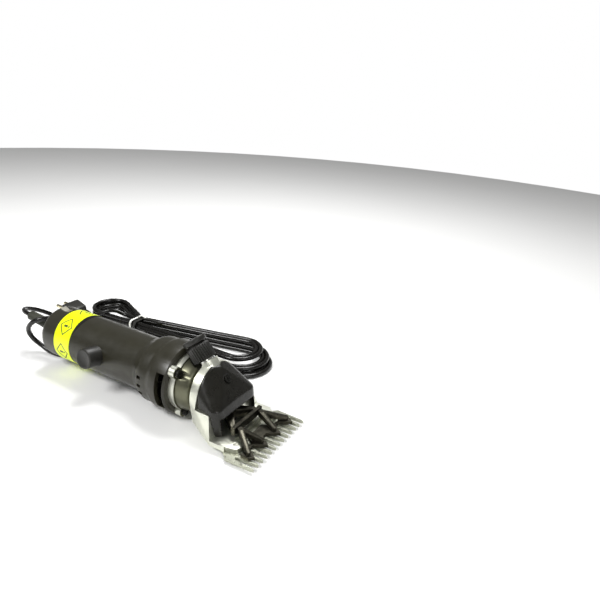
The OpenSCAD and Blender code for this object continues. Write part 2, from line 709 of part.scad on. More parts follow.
module rotor_stack() color("#7a7b78") difference() {
    rod(stack_x0, stack_x1, rotor_r);
    rod(stack_x0 - 1, stack_x1 + 1, shaft_r);
    for (i = [0:11]) station(stack_x0 - 1) rotate([i * 30, 0, 0])
        translate([0, -0.8, rotor_r - 5]) cube([stack_len + 2, 1.6, 8]);
}

module rotor_windings() color("#a4582b") difference() {
    union() {
        rod(stack_x0 - coil_len, stack_x0, rotor_r - 1.5);
        rod(stack_x1, stack_x1 + coil_len, rotor_r - 1.5);
    }
    rod(stack_x0 - 20, stack_x1 + 20, shaft_r);
}

module commutator() color("#b87333") difference() {
    rod(-brush_back - commutator_len / 2, -brush_back + commutator_len / 2, commutator_r);
    rod(-brush_back - 20, -brush_back + 20, shaft_r);
    for (i = [0:23]) station(-brush_back - commutator_len / 2 - 1) rotate([i * 15, 0, 0])
        translate([0, -0.2, commutator_r - 0.8]) cube([commutator_len - 2, 0.4, 2]);
}

module fan() color("#3b3a33") difference() {
    union() {
        rod(fan_x0, fan_x0 + 2, fan_r);
        rod(fan_x0, fan_x0 + fan_len, 8);
        for (i = [0:fan_blades - 1]) station(fan_x0 + 1) rotate([i * 360 / fan_blades, 0, 0])
            translate([0, -0.7, 7]) cube([fan_len - 2, 1.4, fan_r - 8]);
    }
    rod(fan_x0 - 1, fan_x0 + fan_len + 1, shaft_r);
}

module rotor_bearing_rear() bearing(rear_bearing_x, shaft_r, motor_bearing_r, motor_bearing_w);
module rotor_bearing_front() bearing(front_bearing_x, shaft_r, motor_bearing_r, motor_bearing_w);

// Cross bridge that carries the rear rotor bearing inside the barrel
module bearing_bridge() color("#55554e") difference() {
    union() {
        rod(rear_bearing_x - 2, rear_bearing_x + motor_bearing_w, motor_bearing_r + 2);
        block([rear_bearing_x, -shell_in + 0.8, -4], [rear_bearing_x + motor_bearing_w, shell_in - 0.8, 4]);
        intersection() {
            block([rear_bearing_x, -30, -7], [rear_bearing_x + motor_bearing_w, 30, 7]);
            difference() {
                rod(rear_bearing_x, rear_bearing_x + motor_bearing_w, shell_in - seat);
                rod(rear_bearing_x - 1, rear_bearing_x + motor_bearing_w + 1, shell_in - 3);
            }
        }
    }
    rod(rear_bearing_x, rear_bearing_x + motor_bearing_w + 1, motor_bearing_r);
    rod(rear_bearing_x - 3, rear_bearing_x + 1, shaft_r + 1);
}

module stator_core() color("#6f706c") difference() {
    rod(stack_x0, stack_x1, shell_in - seat);
    rod(stack_x0 - 1, stack_x1 + 1, rotor_r + air_gap);
    for (s = [-1, 1]) {
        block([stack_x0 - 1, -9, s > 0 ? rotor_r - 2 : -rotor_r - 3.5],
            [stack_x1 + 1, 9, s > 0 ? rotor_r + 3.5 : 2 - rotor_r]);
        block([stack_x0 - 1, s > 0 ? shell_in - 1.2 : -shell_in - 1, -6],
            [stack_x1 + 1, s > 0 ? shell_in + 1 : 1.2 - shell_in, 6]);
    }
}

module stator_coils() color("#a4582b") for (s = [-1, 1]) intersection() {
    difference() {
        rod(stack_x0 - coil_len - 1, stack_x1 + coil_len + 1, shell_in - 1);
        rod(stack_x0 - 20, stack_x1 + 20, rotor_r + air_gap + 0.6);
        block([stack_x0, -30, -30], [stack_x1, 30, 30]);
    }
    block([stack_x0 - 20, -13, s > 0 ? 6 : -30], [stack_x1 + 20, 13, s > 0 ? 30 : -6]);
}

module brush_holders() color("#8c6f3a") for (s = [-1, 1]) on_brush(s) difference() {
    translate([0, 0, commutator_r + 1]) cylinder(r = holder_r, h = grip_r - commutator_r + 3);
    translate([-brush_half, -brush_half, 0]) cube([2 * brush_half, 2 * brush_half, 60]);
}

module brushes() color("#2d2d2b") for (s = [-1, 1]) on_brush(s) difference() {
    translate([seat - brush_half, seat - brush_half, commutator_r - 1])
        cube([2 * (brush_half - seat), 2 * (brush_half - seat), brush_len + 1]);
    rotate([s * 90, 0, 0]) rotate([0, 90, 0]) translate([0, 0, -10]) cylinder(r = commutator_r + slip, h = 20);
}

module brush_springs() color("#b0b1ab") for (s = [-1, 1]) on_brush(s)
    for (i = [0:4]) translate([0, 0, commutator_r + brush_len + i * 1.2]) difference() {
        cylinder(r = 2.4, h = 1.2);
        translate([0, 0, i % 2 == 0 ? -1 : 0.5]) cylinder(r = 1.4, h = 2);
        translate([0, 0, -1]) cylinder(r = 1.2, h = 4);
    }

module brush_caps() color("#26251f") for (s = [-1, 1]) on_brush(s) difference() {
    union() {
        cylinder(r = brush_cap_r, h = grip_r + brush_cap_out - 1);
        cylinder(r = brush_cap_r - 1, h = grip_r + brush_cap_out);
    }
    rotate([0, 90, 0]) translate([0, 0, -30]) cylinder(r = grip_r, h = 60);
    cylinder(r = holder_r + seat, h = grip_r + 4.5);
}

module switch_body() color("#1b1b18") difference() {
    block([switch_x - switch_len / 2, -switch_wide / 2, 13.5], [switch_x + switch_len / 2, switch_wide / 2, grip_r - 0.4]);
    block([switch_x - switch_len / 2 + 1.2, 1.2 - switch_wide / 2, 18],
        [switch_x + switch_len / 2 - 1.2, switch_wide / 2 - 1.2, 30]);
}

module switch_rocker() color("#77776f") union() {
    station(switch_x, 0, grip_r - 3.4) rotate([90, 0, 0]) translate([0, 0, 0.4 + 1.2 - switch_wide / 2])
        linear_extrude(switch_wide - 3.2) polygon([[-5.1, -0.6], [5.1, -0.6], [5.2, 3.2], [0, 2.2], [-5.2, 4.4]]);
    station(switch_x, switch_wide / 2 - 1.7, grip_r - 3.4) rotate([90, 0, 0]) cylinder(r = 1, h = switch_wide - 3.4);
}

module capacitor() color("#8f3f2a") block([tail_x + 26, -7, 1.2 - shell_in],
    [tail_x + 42, 7, 9.2 - shell_in]);

module cord_clamp() color("#3a3a34") difference() {
    block([clamp_x, 3 - shell_in, relief_z - 8], [clamp_x + clamp_len, shell_in - 3, relief_z + 6]);
    rod(clamp_x - 1, clamp_x + clamp_len + 1, cord_d / 2, 0, relief_z);
    for (s = [-1, 1]) rod(clamp_x - 1, clamp_x + clamp_len + 1, tail_screw_r, s * tail_screw_y, tail_screw_z);
}

module strain_relief() color("#3d3f30") union() {
    rod(tail_x + shell_wall, tail_x + shell_wall + 2, relief_r0 + 2, 0, relief_z);
    rod(tail_x - 2, tail_x + shell_wall, relief_r0, 0, relief_z);
    station(tail_x - 1, 0, relief_z) rotate([0, relief_rise - 90, 0])
        cylinder(r1 = relief_r0 - 0.4, r2 = relief_r1, h = relief_len - 1);
}

module tail_screws() color("#15140f") for (s = [-1, 1]) union() {
    rod(tail_x + 1.5, clamp_x + clamp_len + 1, tail_screw_r, s * tail_screw_y, tail_screw_z);
    rod(tail_x, tail_x + 1.5, 2.8, s * tail_screw_y, tail_screw_z);
}

module warning_label() color("#e6f01e") difference() {
    rod(label_x0, label_x1, grip_r + label_thick);
    rod(label_x0 - 1, label_x1 + 1, grip_r + 0.02);
}

module rating_plate() color("#b4b5ae") intersection() {
    difference() {
        rod(-50, -30, grip_r + label_thick);
        rod(-51, -29, grip_r + 0.02);
    }
    block([-60, 0, -6], [-20, 40, 9]);
}

module cord_tail() color("#16160f") swept_cord(tail_route, cord_d, 2, 8);
module cord_end() color("#16160f") swept_cord(end_route, cord_d, 3, 8);

module cord_hank() color("#1b1a14") linear_extrude(hank_h) {
    hull() {
        translate(hank_rear) circle(r = hank_rear_r);
        translate(hank_neck) circle(r = hank_neck_r);
    }
    hull() {
        translate(hank_neck) circle(r = hank_neck_r);
        translate(hank_front) circle(r = hank_front_r);
    }
}

module cord_tie() color("#efefe8") translate([hank_neck[0], hank_neck[1], 0]) difference() {
    translate([-2, -hank_neck_r - 3.1, 0]) cube([4, 2 * hank_neck_r + 6.2, hank_h + 1.3]);
    translate([-3, -hank_neck_r - 2.1, -1]) cube([6, 2 * (hank_neck_r + 2.1), hank_h + 1 + apart]);
}

module on_plug() {
    translate(plug_at) rotate([0, 0, plug_turn]) children();
}

module plug_body() color("#1e1e17") on_plug() union() {
    rotate([0, 90, 0]) cylinder(r1 = 3.4, r2 = 5.5, h = 13);
    translate([12, 0, 0]) hull() {
        rotate([0, 90, 0]) cylinder(r = 6.5, h = 3);
        translate([5, -12.5, -8.5]) cube([14, 25, 17]);
    }
}

module plug_pins() color("#c8c4a8") on_plug() for (y = [-5, 5]) translate([31, y, 0])
    rotate([0, 90, 0]) cylinder(r = 2, h = 16);

rear_cover();
motor_housing();
collar();
gear_plate();
gearbox();
flange_screws();
head_casting();
head_cover();
cover_screw();
tension_pin();
tension_knob();
fork();
fulcrum_post();
foot_left();
foot_right();
foot_clip();
cutter();
comb();
comb_screws();
crankshaft();
crank_roller();
drive_gear();
crank_bearing_rear();
crank_bearing_front();
rotor_shaft();
rotor_stack();
rotor_windings();
commutator();
fan();
rotor_bearing_rear();
rotor_bearing_front();
bearing_bridge();
stator_core();
stator_coils();
brush_holders();
brushes();
brush_springs();
brush_caps();
switch_body();
switch_rocker();
capacitor();
cord_clamp();
strain_relief();
tail_screws();
warning_label();
rating_plate();
cord_tail();
cord_hank();
cord_end();
cord_tie();
plug_body();
plug_pins();
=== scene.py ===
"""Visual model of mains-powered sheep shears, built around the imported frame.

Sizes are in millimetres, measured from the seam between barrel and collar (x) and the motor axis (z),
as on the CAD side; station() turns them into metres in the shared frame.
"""
import json
import math

import bmesh
import bpy
from mathutils import Matrix, Vector


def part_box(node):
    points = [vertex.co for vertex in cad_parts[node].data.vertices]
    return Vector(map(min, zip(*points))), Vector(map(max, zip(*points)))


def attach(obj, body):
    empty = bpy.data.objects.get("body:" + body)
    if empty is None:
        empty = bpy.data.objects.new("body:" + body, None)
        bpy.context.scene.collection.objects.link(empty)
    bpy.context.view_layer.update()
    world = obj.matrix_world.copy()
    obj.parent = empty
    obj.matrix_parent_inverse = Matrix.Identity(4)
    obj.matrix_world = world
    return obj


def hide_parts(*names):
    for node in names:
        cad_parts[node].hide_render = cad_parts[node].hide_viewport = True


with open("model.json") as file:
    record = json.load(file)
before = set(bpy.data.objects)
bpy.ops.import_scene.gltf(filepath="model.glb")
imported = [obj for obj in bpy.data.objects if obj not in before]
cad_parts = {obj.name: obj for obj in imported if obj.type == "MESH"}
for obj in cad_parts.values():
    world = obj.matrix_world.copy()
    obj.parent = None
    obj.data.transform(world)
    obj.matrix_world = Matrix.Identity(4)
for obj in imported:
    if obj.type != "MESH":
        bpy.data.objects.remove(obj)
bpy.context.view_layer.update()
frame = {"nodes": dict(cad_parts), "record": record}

MM = 0.001
SEAM_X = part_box("collar")[0].x
AXIS_Z = (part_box("collar")[0].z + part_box("collar")[1].z) / 2

# Sizes that the pieces share, in millimetres
GRIP_R = 24
TAIL_X = -138
LABEL_X0 = TAIL_X + 21
LABEL_X1 = LABEL_X0 + 20
LABEL_R = GRIP_R + 0.25
RELIEF_Z = -2
RELIEF_RISE = 6
RELIEF_LEN = 44
PIVOT_X = 66
TENSION_Z = -6.5
TENSION_LEAN = 40
KNOB_H0 = 40
KNOB_R = 10
KNOB_LEN = 20
CAP_H = 4.6
BRUSH_BACK = 63
BRUSH_TILT = 11
CAP_R = 9
CAP_OUT = 13

# The cord, in millimetres from the frame's own origin
CORD_D = 4.6
STRAND_PITCH = 4.8
# The tie stands clear of the hank by this much at its sides and its top
TIE_SIDE = 0.7
TIE_TOP = 0.5
TAIL_ROUTE = [
    (-169, 0, 33.4), (-179, 0.5, 34), (-188, 5, 33), (-193, 13, 30), (-194, 23, 25),
    (-190, 33, 18.5), (-182, 40, 12), (-171, 43, 6.5), (-158, 44, 3.2), (-145, 43, 2.6),
    (-132, 40, 2.5), (-121, 34, 2.5), (-113, 25, 2.5), (-111, 14, 2.5), (-117, 4, 2.5),
    (-128, -2, 2.5), (-141, -3.5, 2.8), (-152, -4.5, 6.5), (-160.5, -7.5, 13.5), (-161.5, -10.5, 22.5),
    (-156, -12, 31), (-148, -10, 37.5), (-140.5, -3, 39.3), (-136.5, 7, 36.5), (-135, 18, 31),
    (-134, 29, 24.5), (-131, 40, 18.5), (-125, 50, 13), (-116, 59, 8), (-105, 66.5, 4),
    (-94, 71.5, 2.6), (-80, 74, 2.4),
]
END_ROUTE = [
    (-134, 88, 13), (-142, 83.5, 16.6), (-149, 78, 16.8), (-156, 73, 12.8), (-163, 70.4, 9.8),
    (-171, 70, 9.2),
]
HANK_REAR = (-163, 96)
HANK_REAR_R = 21.3
HANK_NECK = (-112, 86)
HANK_NECK_R = 9.6
HANK_TOP = 14.5
# Each pair of turns lies one layer up, and its front loop is a little smaller and further back
HANK_FRONTS = [(24, 92, 31), (21, 94.5, 29), (15, 99, 25)]
HANK_LANES = [0, 1, 1, 0, 0, 1]
PLUG_AT = (-171, 70, 9.2)

# The camera: its station, its turns in degrees, and its lens
CAMERA_AT = (287.2, -306.8, 242.0)
CAMERA_HEADING = 28.14
CAMERA_PITCH = 67.59
CAMERA_ROLL = 4.0
CAMERA_LENS = 32.54


def station(x, y=0.0, z=0.0):
    """A point given by its station along the barrel, in metres in the shared frame."""
    return Vector((SEAM_X + x * MM, y * MM, AXIS_Z + z * MM))


# ---------------------------------------------------------------- materials

def shader(name):
    """An empty material: its node tree and its main shader."""
    material = bpy.data.materials.new(name)
    material.use_nodes = True
    return material, material.node_tree, material.node_tree.nodes["Principled BSDF"]


def object_point(tree, stretch=(1, 1, 1)):
    """The surface point in the piece's own coordinates, stretched for a directional pattern."""
    coordinate = tree.nodes.new("ShaderNodeTexCoord")
    mapping = tree.nodes.new("ShaderNodeMapping")
    mapping.inputs["Scale"].default_value = stretch
    tree.links.new(coordinate.outputs["Object"], mapping.inputs["Vector"])
    return mapping.outputs["Vector"]


def noise(tree, point, scale, detail=3.0):
    node = tree.nodes.new("ShaderNodeTexNoise")
    node.inputs["Scale"].default_value = scale
    node.inputs["Detail"].default_value = detail
    node.inputs["Roughness"].default_value = 0.55
    tree.links.new(point, node.inputs["Vector"])
    return node.outputs["Fac"]


def ranged(tree, value, low, high, from_low=0.3, from_high=0.7):
    node = tree.nodes.new("ShaderNodeMapRange")
    node.inputs["From Min"].default_value = from_low
    node.inputs["From Max"].default_value = from_high
    node.inputs["To Min"].default_value = low
    node.inputs["To Max"].default_value = high
    tree.links.new(value, node.inputs["Value"])
    return node.outputs["Result"]


def blended(tree, factor, first, second):
    node = tree.nodes.new("ShaderNodeMix")
    node.data_type = "RGBA"
    for socket, colour in (("A", first), ("B", second)):
        target = [s for s in node.inputs if s.name == socket and s.type == "RGBA"][0]
        if isinstance(colour, tuple):
            target.default_value = (*colour, 1)
        else:
            tree.links.new(colour, target)
    tree.links.new(factor, node.inputs["Factor"])
    return [s for s in node.outputs if s.type == "RGBA"][0]


def bumped(tree, main, height, distance):
    node = tree.nodes.new("ShaderNodeBump")
    node.inputs["Distance"].default_value = distance
    tree.links.new(height, node.inputs["Height"])
    tree.links.new(node.outputs["Normal"], main.inputs["Normal"])


def surface(name, colour, metallic=0.0, roughness=0.45, shade=0.18, patch=60, spread=0.06,
            grain=1800, depth=0.00002, stretch=(1, 1, 1), specular=0.5):
    """A surface with soft patches of shade, a varied polish and a fine grain."""
    material, tree, main = shader(name)
    point = object_point(tree)
    dark = tuple(c * (1 - shade) for c in colour)
    light = tuple(min(1.0, c * (1 + shade)) for c in colour)
    tree.links.new(blended(tree, ranged(tree, noise(tree, point, patch), 0, 1), dark, light),
                   main.inputs["Base Color"])
    fine = noise(tree, object_point(tree, stretch), grain, 2.0)
    tree.links.new(ranged(tree, noise(tree, point, patch * 4), roughness - spread, roughness + spread),
                   main.inputs["Roughness"])
    bumped(tree, main, fine, depth)
    main.inputs["Metallic"].default_value = metallic
    main.inputs["Specular IOR Level"].default_value = specular
    return material


def gearbox_alloy():
    """Bright alloy rim at the back of the gearbox, and its front darkened: a painted reflection of dark
    surroundings on the same alloy.
    """
    material, tree, main = shader("gearbox_alloy")
    coordinate = tree.nodes.new("ShaderNodeTexCoord")
    split = tree.nodes.new("ShaderNodeSeparateXYZ")
    tree.links.new(coordinate.outputs["Object"], split.inputs["Vector"])
    edge = station(27.6).x
    mask = ranged(tree, split.outputs["X"], 0, 1, edge - 0.0004, edge + 0.0004)
    patches = noise(tree, object_point(tree), 70)
    rim = blended(tree, ranged(tree, patches, 0, 1), (0.62, 0.63, 0.55), (0.76, 0.77, 0.68))
    # Painted reflection: the front of the gearbox is darkened to stand for dark surroundings mirrored in the
    # polished alloy.
    painted_reflection_colour = blended(tree, ranged(tree, patches, 0, 1), (0.1, 0.1, 0.066), (0.16, 0.16, 0.11))
    tree.links.new(blended(tree, mask, rim, painted_reflection_colour), main.inputs["Base Color"])
    tree.links.new(ranged(tree, patches, 0.28, 0.4), main.inputs["Roughness"])
    bumped(tree, main, noise(tree, object_point(tree), 1500, 2.0), 0.00003)
    main.inputs["Metallic"].default_value = 0.85
    return material


PLASTIC = surface("housing_plastic", (0.022, 0.0205, 0.0125), roughness=0.36, shade=0.12, patch=35,
                  grain=2600, depth=0.000012, specular=0.4)
COVER = surface("cover_plastic", (0.008, 0.0075, 0.005), roughness=0.3, shade=0.15, patch=45,
                grain=2400, depth=0.000004, specular=0.4)
KNOB = surface("knob_plastic", (0.011, 0.0105, 0.008), roughness=0.46, shade=0.2, patch=90,
               grain=2200, depth=0.00002)
RUBBER = surface("relief_rubber", (0.03, 0.031, 0.02), roughness=0.55, shade=0.15, patch=80,
                 grain=3000, depth=0.00002, specular=0.4)
SHEATH = surface("cord_sheath", (0.005, 0.0045, 0.0035), roughness=0.24, shade=0.25, patch=120,
                 grain=400, depth=0.000004, specular=0.4)
PLUG = surface("plug_plastic", (0.013, 0.0125, 0.009), roughness=0.5, shade=0.2, patch=90,
               grain=2600, depth=0.00003)
ALLOY = surface("cast_alloy", (0.72, 0.73, 0.63), metallic=0.9, roughness=0.34, shade=0.07, patch=90,
                grain=900, depth=0.00005)
# Cast alloy with a painted reflection darkening the front of the gearbox.
GEARBOX = gearbox_alloy()
FORK = surface("fork_steel", (0.05, 0.047, 0.035), metallic=0.85, roughness=0.32, shade=0.4, patch=150,
               grain=900, depth=0.00004)
CUTTER = surface("cutter_steel", (0.05, 0.047, 0.035), metallic=0.85, roughness=0.34, shade=0.35,
                 patch=120, grain=1200, depth=0.00003, stretch=(0.1, 1, 1))
COMB = surface("comb_steel", (0.42, 0.43, 0.35), metallic=0.95, roughness=0.3, shade=0.08, patch=60,
               grain=2500, depth=0.00003, stretch=(0.05, 1, 1))
STEEL = surface("bright_steel", (0.62, 0.62, 0.58), metallic=1.0, roughness=0.28, shade=0.1, patch=80,
                grain=1500, depth=0.00002)
BLACK_SCREW = surface("black_screw", (0.02, 0.02, 0.017), metallic=0.6, roughness=0.3, shade=0.3,
                      patch=200, grain=1500, depth=0.00002)
BRONZE = surface("gear_bronze", (0.55, 0.4, 0.2), metallic=1.0, roughness=0.32)
LAMINATION = surface("lamination", (0.4, 0.4, 0.38), metallic=0.9, roughness=0.45, grain=2500,
                     depth=0.0001, stretch=(1, 0.02, 0.02))
COPPER = surface("copper", (0.6, 0.26, 0.1), metallic=0.9, roughness=0.35, grain=2600, depth=0.0001,
                 stretch=(0.05, 1, 1))
CARBON = surface("carbon", (0.04, 0.04, 0.04), roughness=0.6)
BRASS = surface("holder_brass", (0.68, 0.52, 0.24), metallic=1.0, roughness=0.3)
INNER = surface("inner_plastic", (0.02, 0.02, 0.017), roughness=0.5)
ROCKER = surface("rocker_plastic", (0.2, 0.19, 0.14), roughness=0.35, shade=0.15)
CAPACITOR = surface("capacitor_case", (0.4, 0.12, 0.06), roughness=0.35)
LABEL = surface("label_film", (0.8, 0.95, 0.0), roughness=0.35, shade=0.04, patch=50, grain=900,
                depth=0.000004, specular=0.5)
INK = surface("label_ink", (0.035, 0.04, 0.012), roughness=0.5, shade=0.3)
# Painted shadow: near-black colour for the strip laid on the barrel in front of the label.
PAINTED_SHADOW = surface("painted_shadow_black", (0.006, 0.006, 0.005), roughness=0.6, specular=0.2)
PLATE = surface("plate_film", (0.32, 0.32, 0.27), metallic=0.4, roughness=0.35)
TIE_WHITE = surface("tie_paper", (0.88, 0.88, 0.84), roughness=0.6, shade=0.04)
PRONG = surface("plug_metal", (0.75, 0.68, 0.45), metallic=1.0, roughness=0.25)

CAD_FINISH = {
    "rear_cover": PLASTIC, "motor_housing": PLASTIC, "collar": PLASTIC, "head_cover": COVER,
    "tension_knob": KNOB, "brush_caps": KNOB, "gearbox": GEARBOX, "gear_plate": ALLOY,
    "head_casting": ALLOY, "flange_screws": BLACK_SCREW, "tail_screws": BLACK_SCREW,
    "cover_screw": BLACK_SCREW, "fork": FORK, "foot_left": FORK, "foot_right": FORK,
    "foot_clip": FORK, "cutter": CUTTER, "comb": COMB, "comb_screws": STEEL, "tension_pin": STEEL,
    "fulcrum_post": STEEL, "crankshaft": STEEL, "crank_roller": STEEL, "crank_bearing_rear": STEEL,
    "crank_bearing_front": STEEL, "rotor_shaft": STEEL, "rotor_bearing_rear": STEEL,
    "rotor_bearing_front": STEEL, "brush_springs": STEEL, "drive_gear": BRONZE,
    "rotor_stack": LAMINATION, "stator_core": LAMINATION, "rotor_windings": COPPER,
    "stator_coils": COPPER, "commutator": COPPER, "brushes": CARBON, "brush_holders": BRASS,
    "fan": INNER, "bearing_bridge": INNER, "cord_clamp": INNER, "switch_body": INNER,
    "switch_rocker": ROCKER, "capacitor": CAPACITOR, "warning_label": LABEL, "rating_plate": PLATE,
    "strain_relief": RUBBER, "plug_body": PLUG, "plug_pins": PRONG, "cord_tie": TIE_WHITE,
    "cord_tail": SHEATH, "cord_hank": SHEATH, "cord_end": SHEATH,
}
NODE_BODY = {node: body for body, nodes in frame["record"]["behaviour"]["bodies"].items() for node in nodes}


def dress(piece, material):
    """Gives a piece one material, on its object's own slots."""
    if not piece.material_slots:
        piece.data.materials.append(material)
    for each in piece.material_slots:
        each.material = material


for node_name, finish in CAD_FINISH.items():
    dress(frame["nodes"][node_name], finish)


# ---------------------------------------------------------------- making pieces

def shaded(mesh, angle=35):
    for face in mesh.polygons:
        face.use_smooth = True
    mesh.set_sharp_from_angle(angle=math.radians(angle))


def finished(bm, name, material, node, stands_for=True, angle=35, body=None):
    """Turns a bmesh into a piece that rides on its node's body and wears the given material; when it stands
    for the node, the node is hidden.
    """
    mesh = bpy.data.meshes.new(name)
    bm.to_mesh(mesh)
    bm.free()
    shaded(mesh, angle)
    piece = bpy.data.objects.new(name, mesh)
    bpy.context.scene.collection.objects.link(piece)
    mesh.materials.append(material)
    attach(piece, body or NODE_BODY[node])
    if stands_for:
        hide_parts(node)
    return piece


def eased(node, width, segments=2, limit=30):
    """A copy of a CAD node with its edges broken by a small round."""
    bm = bmesh.new()
    bm.from_mesh(frame["nodes"][node].data)
    bmesh.ops.remove_doubles(bm, verts=bm.verts, dist=0.000002)
    bmesh.ops.dissolve_limit(bm, angle_limit=math.radians(0.6), verts=bm.verts, edges=bm.edges)
    piece = finished(bm, f"{node}_eased", CAD_FINISH[node], node)
    bevel = piece.modifiers.new("edge_round", "BEVEL")
    bevel.width = width * MM
    bevel.segments = segments
    bevel.limit_method = "ANGLE"
    bevel.angle_limit = math.radians(limit)
    bevel.use_clamp_overlap = True
    bevel.harden_normals = True
    return piece


def softened(node, grain, passes):
    """A copy of a moulded CAD node with its edges and facets melted into soft rounds."""
    bm = bmesh.new()
    bm.from_mesh(frame["nodes"][node].data)
    bmesh.ops.remove_doubles(bm, verts=bm.verts, dist=0.000002)
    piece = finished(bm, f"{node}_soft", CAD_FINISH[node], node)
    remesh = piece.modifiers.new("even_mesh", "REMESH")
    remesh.mode = "VOXEL"
    remesh.voxel_size = grain * MM
    remesh.use_smooth_shade = True
    smooth = piece.modifiers.new("soft_edges", "SMOOTH")
    smooth.factor = 0.5
    smooth.iterations = passes
    return piece


def turned(bm, outline, steps=96):
    """Spins an outline of (height, radius) pairs round the local Z axis."""
    points = [bm.verts.new((radius * MM, 0, height * MM)) for height, radius in outline]
    edges = [bm.edges.new(pair) for pair in zip(points, points[1:])]
    bmesh.ops.spin(bm, geom=points + edges, cent=(0, 0, 0), axis=(0, 0, 1), angle=2 * math.pi,
                   steps=steps, use_merge=True)
    bmesh.ops.remove_doubles(bm, verts=bm.verts, dist=0.000002)


def set_down(bm, where):
    bmesh.ops.recalc_face_normals(bm, faces=bm.faces)
    bmesh.ops.transform(bm, matrix=where, verts=bm.verts)


def gathered(parts, name, material, node, angle):
    """Joins several bmeshes into one piece."""
    bm = bmesh.new()
    for part in parts:
        held = bpy.data.meshes.new("part")
        part.to_mesh(held)
        part.free()
        bm.from_mesh(held)
        bpy.data.meshes.remove(held)
    return finished(bm, name, material, node, angle=angle)


def tension_axis(height=0.0):
    """Local Z along the tension screw, at a height above the centre of the pin's ball."""
    lean = Matrix.Rotation(math.radians(-TENSION_LEAN), 4, "Y")
    return Matrix.Translation(station(PIVOT_X, 0, TENSION_Z)) @ lean @ Matrix.Translation((0, 0, height * MM))


def lofted(bm, rings, closed=False):
    """Skins a run of like-numbered rings of points, with the two ends closed by faces."""
    loops = []
    for ring in rings:
        verts = [bm.verts.new(point) for point in ring]
        loops.append([bm.edges.new((verts[i - 1], verts[i])) for i in range(len(verts))])
    for first, second in list(zip(loops, loops[1:])) + ([(loops[-1], loops[0])] if closed else []):
        bmesh.ops.bridge_loops(bm, edges=first + second)
    if not closed:
        for loop in (loops[0], loops[-1]):
            bmesh.ops.contextual_create(bm, geom=loop)
    bmesh.ops.recalc_face_normals(bm, faces=bm.faces)


def tension_knob():
    """Two-step knob: a finely ribbed grip, a narrow neck and a plain cap."""
    bm = bmesh.new()
    ribs, per_rib = 30, 6
    grip_top = KNOB_LEN - CAP_H - 1.4
    levels = [(0, -2.0, 0), (0.8, -0.5, 0.5), (grip_top - 1.6, -0.5, 0.5), (grip_top - 0.2, -2, 0),
              (grip_top + 0.9, -2.6, 0), (grip_top + 1.3, -0.8, 0), (grip_top + 2, -0.2, 0),
              (KNOB_LEN - 1.2, 0, 0), (KNOB_LEN - 0.3, -0.5, 0), (KNOB_LEN, -1.5, 0)]
    rings = []
    for height, inset, rib in levels:
        ring = []
        for i in range(ribs * per_rib):
            angle = 2 * math.pi * i / (ribs * per_rib)
            radius = KNOB_R + inset + rib * min(1.0, max(-1.0, 1.6 * math.sin(ribs * angle)))
            ring.append((radius * math.cos(angle) * MM, radius * math.sin(angle) * MM, height * MM))
        rings.append(ring)
    lofted(bm, rings)
    set_down(bm, tension_axis(KNOB_H0))
    return finished(bm, "tension_knob_ribbed", KNOB, "tension_knob", angle=40)


def brush_cap(side):
    """A round screw cap: a plain cylinder with a rounded rim and a shallow dish in its face."""
    bm = bmesh.new()
    turned(bm, [(GRIP_R - 5, CAP_R), (GRIP_R + CAP_OUT - 1.2, CAP_R), (GRIP_R + CAP_OUT - 0.3, CAP_R - 0.4),
                (GRIP_R + CAP_OUT, CAP_R - 1.2), (GRIP_R + CAP_OUT - 0.1, CAP_R - 2.2),
                (GRIP_R + CAP_OUT - 0.5, CAP_R - 2.8), (GRIP_R + CAP_OUT - 0.5, 0)], 64)
    turn = Matrix.Rotation(math.radians(-side * 90 - BRUSH_TILT), 4, "X")
    set_down(bm, Matrix.Translation(station(-BRUSH_BACK)) @ turn)
    return bm


def strain_relief():
    """Moulded sleeve that tapers away from the tail, with a rolled lip at its end."""
    bm = bmesh.new()
    bore = CORD_D / 2 - 0.05
    turned(bm, [(-3, 0), (-3, 5.6), (1, 5.9), (3, 5.7), (20, 5.35), (RELIEF_LEN - 3, 4.75),
                (RELIEF_LEN - 1.2, 4.9), (RELIEF_LEN - 0.3, 4.5), (RELIEF_LEN, 3.8),
                (RELIEF_LEN, bore), (RELIEF_LEN - 4, bore), (RELIEF_LEN - 4, 0)], 64)
    tilt = Matrix.Rotation(math.radians(RELIEF_RISE - 90), 4, "Y")
    set_down(bm, Matrix.Translation(station(TAIL_X, 0, RELIEF_Z)) @ tilt)
    return finished(bm, "strain_relief_moulded", RUBBER, "strain_relief", angle=50)


def strip(route, wide, thick, across, name, material, stands_for, closed):
    """A flat strip swept along a route; across(along) gives the way of its width."""
    bm = bmesh.new()
    count = len(route)
    rings = []
    for i, point in enumerate(route):
        before = route[i - 1] if closed or i else route[i]
        after = route[(i + 1) % count] if closed or i < count - 1 else route[i]
        along = (Vector(after) - Vector(before)).normalized()
        side = across(along).normalized()
        out = side.cross(along).normalized()
        rings.append([(Vector(point) + side * sx * wide / 2 + out * sy * thick / 2) * MM
                      for sx, sy in ((-1, -1), (1, -1), (1, 1), (-1, 1))])
    lofted(bm, rings, closed)
    return finished(bm, name, material, "cord_tie", stands_for)


# ---------------------------------------------------------------- the cord

def hank_turn(k):
    """How far turn k lies inside the hank's outline, its height and its front loop."""
    layer = k // 2
    x, y, radius = HANK_FRONTS[layer]
    inset = CORD_D / 2 + HANK_LANES[k] * STRAND_PITCH
    return inset, CORD_D / 2 + 0.1 + layer * STRAND_PITCH, x, y, radius - inset


def mixed(a, b, t):
    return a + (b - a) * t


